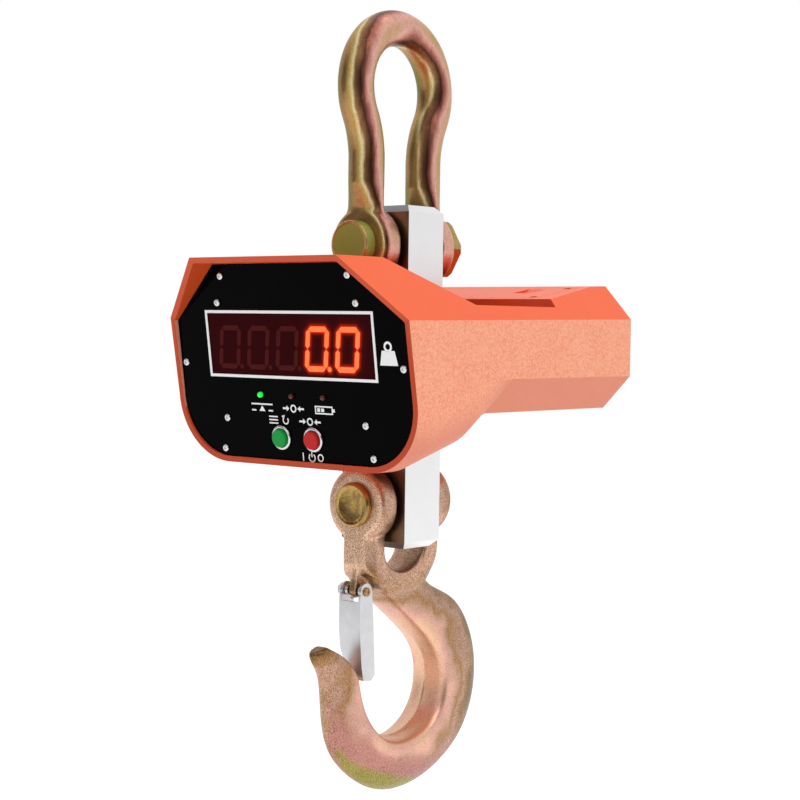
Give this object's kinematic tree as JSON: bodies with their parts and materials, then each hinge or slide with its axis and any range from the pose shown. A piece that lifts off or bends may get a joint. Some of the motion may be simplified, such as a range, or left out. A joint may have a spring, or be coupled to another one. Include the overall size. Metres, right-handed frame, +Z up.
{
  "type": "crane scale",
  "caption": "Hanging crane scale with a bow shackle above, a load-cell bar through a cast housing with a tilted numeric display, and a latched fork hook below.",
  "frame": {"origin": "bearing point inside the crown of the shackle bow, on the load line", "axes": "+Z up along the load line; the display faces -Y; both load pins lie along Y; +X is to the right when facing the display"},
  "size_m": [0.2232, 0.2867, 0.5716],
  "materials": {
    "bow_plating": "forged steel, yellow chromate over zinc",
    "pin_plating": "turned steel, olive chromate over zinc",
    "hook_plating": "grainy forged steel, iridescent chromate",
    "bar_steel": "ground alloy steel, bright",
    "orange_coat": "die-cast aluminium, orange powder coat",
    "black_face": "gloss black printed panel",
    "window_red": "dark red acrylic",
    "white_print": "white print",
    "bright_screws": "bright zinc or chrome",
    "black_rubber": "moulded rubber",
    "green_cap": "glossy push cap",
    "red_cap": "glossy push cap",
    "green_lamp": "tinted lamp body",
    "red_lamp": "tinted lamp body",
    "digit_case": "moulded display block",
    "board_green": "glass-epoxy circuit board",
    "zinc_sheet": "bright zinc-plated sheet steel",
    "switch_black": "moulded thermoplastic",
    "battery_grey": "moulded battery case",
    "brass_part": "brass",
    "spring_wire": "spring steel wire"
  },
  "bodies": {
    "shackle": {"shackle_bow": "bow_plating", "shackle_pin": "pin_plating", "shackle_nut": "pin_plating"},
    "scale": {"load_cell_bar": "bar_steel", "gauge_covers": "zinc_sheet", "bar_brackets": "zinc_sheet", "bracket_bolts": "bright_screws", "saddle_screws": "bright_screws", "bar_seals": "black_rubber", "housing_shell": "orange_coat", "rear_cover": "orange_coat", "rear_cover_screws": "bright_screws", "battery_cover": "orange_coat", "battery_cover_screws": "bright_screws", "face_gasket": "black_rubber", "faceplate": "black_face", "faceplate_screws": "bright_screws", "window_lens": "window_red", "window_trim": "white_print", "display_board": "board_green", "digit_modules": "digit_case", "board_standoffs": "brass_part", "indicator_green": "green_lamp", "indicators_red": "red_lamp", "button_bezels": "bright_screws", "button_switches": "switch_black", "main_board": "board_green", "main_board_frame": "zinc_sheet", "main_board_screws": "bright_screws", "cell_lead": "switch_black", "battery": "battery_grey", "battery_tray": "zinc_sheet", "battery_strap": "zinc_sheet", "charge_socket": "switch_black", "socket_nut": "brass_part"},
    "hook_assembly": {"hook": "hook_plating", "hook_pin": "pin_plating", "hook_pin_washer": "zinc_sheet", "hook_pin_clip": "spring_wire", "latch_bolt": "pin_plating", "latch_nut": "zinc_sheet", "latch_spring": "spring_wire"},
    "safety_latch": {"latch": "zinc_sheet"},
    "green_button": {"button_cap_green": "green_cap"},
    "red_button": {"button_cap_red": "red_cap"}
  },
  "joints": [
    {"name": "shackle_swing", "type": "hinge", "parent": "shackle", "child": "scale", "pos_m": [0, 0, -0.145], "axis": [0, 1, 0], "range_deg": [-90, 90]},
    {"name": "hook_swing", "type": "hinge", "parent": "scale", "child": "hook_assembly", "pos_m": [0, 0, -0.3312], "axis": [0, 1, 0], "range_deg": [-90, 90]},
    {"name": "latch_hinge", "type": "hinge", "parent": "hook_assembly", "child": "safety_latch", "pos_m": [0, -0.0375, -0.3934], "axis": [1, 0, 0], "range_deg": [0, 42], "stiffness_Nm_per_rad": 0.05, "springref_deg": -20.05, "deforming": ["latch_spring"]},
    {"name": "green_press", "type": "slide", "parent": "scale", "child": "green_button", "axis": [0, 0.9894, 0.145], "range_m": [0, 0.0015], "stiffness_N_per_m": 800, "springref_m": -0.001},
    {"name": "red_press", "type": "slide", "parent": "scale", "child": "red_button", "axis": [0, 0.9894, 0.145], "range_m": [0, 0.0015], "stiffness_N_per_m": 800, "springref_m": -0.001}
  ]
}
